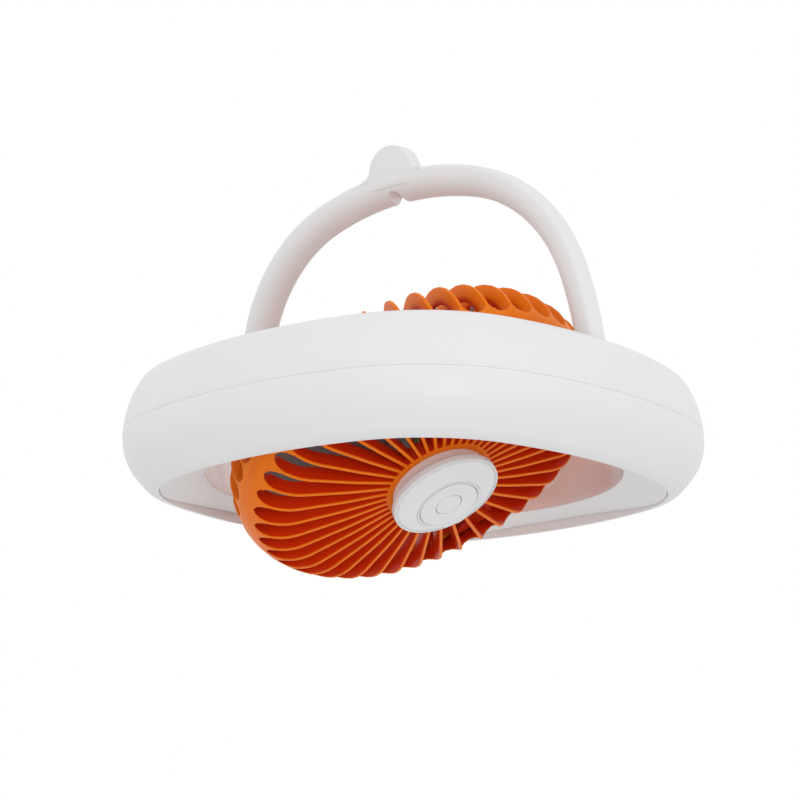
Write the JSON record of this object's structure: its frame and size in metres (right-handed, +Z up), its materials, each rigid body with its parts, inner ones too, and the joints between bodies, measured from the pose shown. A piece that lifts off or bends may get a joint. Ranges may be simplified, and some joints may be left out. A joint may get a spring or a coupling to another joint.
{
  "type": "portable camping fan",
  "caption": "Hanging camping fan and lantern: a ribbed, tilting fan head inside a soft-square ring with a lamp underneath and a folding carry handle.",
  "frame": {"origin": "centre of the hang notch under the crown of the raised handle", "axes": "+Z up, +Y along the hang notch, +X along the handle's hinge"},
  "size_m": [0.25, 0.25, 0.1985],
  "materials": {
    "white_plastic": "satin",
    "cap_plastic": "satin",
    "liner_gloss": "gloss",
    "lamp_cover": "frosted",
    "orange_plastic": "gloss",
    "circuit_board": "solder mask",
    "lamp_chips": "clear",
    "cell_wrap": "shrink wrap",
    "black_plastic": "moulded",
    "bright_steel": "plain",
    "grey_rubber": "matte",
    "bearing_brass": "plain",
    "motor_iron": "laminated",
    "copper_wire": "enamelled",
    "grey_plastic": "satin"
  },
  "bodies": {
    "handle": {"handle_arch": "white_plastic", "hinge_pins": "bright_steel"},
    "ring": {"upper_shell": "white_plastic", "lower_shell": "white_plastic", "inner_liner": "liner_gloss", "light_cover": "lamp_cover", "led_board": "circuit_board", "led_chips": "lamp_chips", "battery_cells": "cell_wrap", "battery_cradles": "black_plastic", "contact_plates": "bright_steel", "main_board": "circuit_board", "charge_socket": "bright_steel", "port_cover": "grey_rubber", "shell_screws": "bright_steel", "pivot_bushes": "bearing_brass", "hinge_washers": "bright_steel"},
    "head": {"front_grille": "orange_plastic", "rear_grille": "orange_plastic", "grille_screws": "bright_steel", "pivot_pins": "bright_steel", "tilt_washers": "bright_steel", "motor_base": "black_plastic", "motor_board": "circuit_board", "bearings": "bright_steel", "stator_core": "motor_iron", "stator_windings": "copper_wire", "hub_cap": "cap_plastic", "button_board": "circuit_board", "switch_domes": "grey_rubber"},
    "impeller": {"impeller": "grey_plastic", "lock_nut": "bearing_brass", "rotor_cup": "bright_steel", "magnet_ring": "motor_iron", "motor_shaft": "bright_steel"},
    "outer_button": {"outer_button": "cap_plastic"},
    "inner_button": {"inner_button": "cap_plastic"}
  },
  "joints": [
    {"name": "handle_fold", "type": "hinge", "parent": "handle", "child": "ring", "pos_m": [0, 0.01101, -0.09667], "axis": [1, 0, 0], "range_deg": [-73.5, 96.5]},
    {"name": "head_tilt", "type": "hinge", "parent": "ring", "child": "head", "pos_m": [0, 0.01101, -0.11267], "axis": [0, 1, 0], "range_deg": [-58, 122]},
    {"name": "impeller_spin", "type": "hinge", "parent": "head", "child": "impeller", "pos_m": [0, 0.01101, -0.11267], "axis": [0.5299, 0, -0.848], "continuous": true},
    {"name": "outer_button_press", "type": "slide", "parent": "head", "child": "outer_button", "axis": [-0.5299, 0, 0.848], "range_m": [0, 0.0008], "stiffness_N_per_m": 900, "springref_m": -0.0012},
    {"name": "inner_button_press", "type": "slide", "parent": "head", "child": "inner_button", "axis": [-0.5299, 0, 0.848], "range_m": [0, 0.0008], "stiffness_N_per_m": 900, "springref_m": -0.0012}
  ]
}
